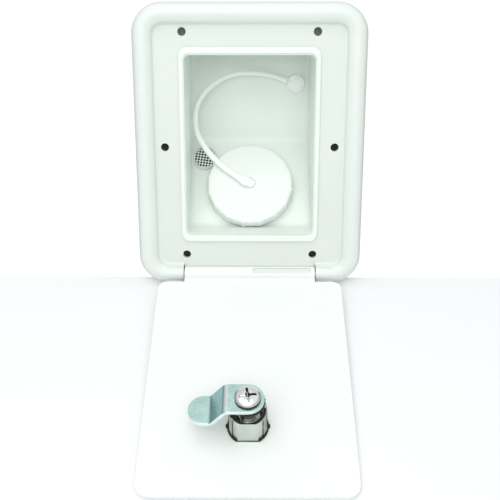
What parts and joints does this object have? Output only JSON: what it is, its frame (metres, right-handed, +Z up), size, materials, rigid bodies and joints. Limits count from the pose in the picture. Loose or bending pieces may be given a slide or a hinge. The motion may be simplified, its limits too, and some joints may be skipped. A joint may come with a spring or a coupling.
{
  "type": "lockable water fill hatch",
  "caption": "Wall-mounted water fill hatch: rimmed frame with a deep tub, tethered screw cap, vent screen and a bottom-hinged door with a cam lock.",
  "frame": {"origin": "middle of the hole in the wall, on the plane of the frame's back, which lies against the wall", "axes": "+Y goes into the wall, +Z is up and +X is to the right of someone facing the hatch"},
  "size_m": [0.13, 0.2001, 0.2251],
  "materials": {
    "frame_plastic": "white injection moulding, soft gloss",
    "tub_plastic": "white injection moulding, fine eggshell",
    "door_plastic": "white injection moulding, soft gloss",
    "cap_plastic": "white polypropylene, soft gloss",
    "strap_plastic": "white flexible plastic, satin",
    "spout_plastic": "white polypropylene",
    "vent_plastic": "white polypropylene",
    "zinc_plate": "clear zinc plated steel, slightly mottled",
    "die_cast": "satin zinc die casting",
    "plated_screw": "bright zinc plated",
    "plug_brass": "nickel plated brass",
    "wafer_brass": "stamped brass",
    "spring_steel": "black phosphated spring steel",
    "stainless": "plain stainless steel",
    "seal_rubber": "black rubber"
  },
  "bodies": {
    "hatch": {"trim_frame": "frame_plastic", "tub": "tub_plastic", "hinge_pin_left": "stainless", "hinge_pin_right": "stainless", "tether": "strap_plastic", "tether_anchor": "strap_plastic", "anchor_push_nut": "stainless", "fill_spout": "spout_plastic", "spout_gasket": "seal_rubber", "spout_locknut": "spout_plastic", "vent_fitting": "vent_plastic", "vent_screen": "vent_plastic"},
    "door": {"door": "door_plastic", "lock_body": "die_cast", "lock_clip": "spring_steel"},
    "lock_plug": {"lock_plug": "plug_brass", "toothed_washer": "spring_steel", "cam": "zinc_plate", "cam_screw": "plated_screw"},
    "wafer_1": {"wafer_1": "wafer_brass"},
    "wafer_2": {"wafer_2": "wafer_brass"},
    "wafer_3": {"wafer_3": "wafer_brass"},
    "wafer_4": {"wafer_4": "wafer_brass"},
    "cap_stud": {"tether_stud": "strap_plastic", "stud_retainer": "stainless"},
    "cap": {"fill_cap": "cap_plastic", "cap_gasket": "seal_rubber"}
  },
  "joints": [
    {"name": "door_hinge", "type": "hinge", "parent": "hatch", "child": "door", "pos_m": [0, -0.0052, -0.0738], "axis": [1, 0, 0], "range_deg": [-119.5, 0]},
    {"name": "lock_turn", "type": "hinge", "parent": "door", "child": "lock_plug", "pos_m": [0, -0.10202, -0.11387], "axis": [0, -0.4924, 0.8704], "range_deg": [0, 90]},
    {"name": "cap_lift", "type": "slide", "parent": "hatch", "child": "cap_stud", "axis": [0, -0.829, 0.5592], "range_m": [0, 0.07], "deforming": ["tether"]},
    {"name": "cap_turn", "type": "hinge", "parent": "cap_stud", "child": "cap", "pos_m": [0, 0.02932, -0.03005], "axis": [0, -0.829, 0.5592], "range_deg": [0, 450]},
    {"name": "wafer_1_slide", "type": "slide", "parent": "lock_plug", "child": "wafer_1", "axis": [0, 0.8704, 0.4924], "range_m": [-0.0006, 0], "stiffness_N_per_m": 50, "springref_m": 0.001},
    {"name": "wafer_2_slide", "type": "slide", "parent": "lock_plug", "child": "wafer_2", "axis": [0, -0.8704, -0.4924], "range_m": [-0.0006, 0], "stiffness_N_per_m": 50, "springref_m": 0.001},
    {"name": "wafer_3_slide", "type": "slide", "parent": "lock_plug", "child": "wafer_3", "axis": [0, 0.8704, 0.4924], "range_m": [-0.0006, 0], "stiffness_N_per_m": 50, "springref_m": 0.001},
    {"name": "wafer_4_slide", "type": "slide", "parent": "lock_plug", "child": "wafer_4", "axis": [0, -0.8704, -0.4924], "range_m": [-0.0006, 0], "stiffness_N_per_m": 50, "springref_m": 0.001}
  ]
}
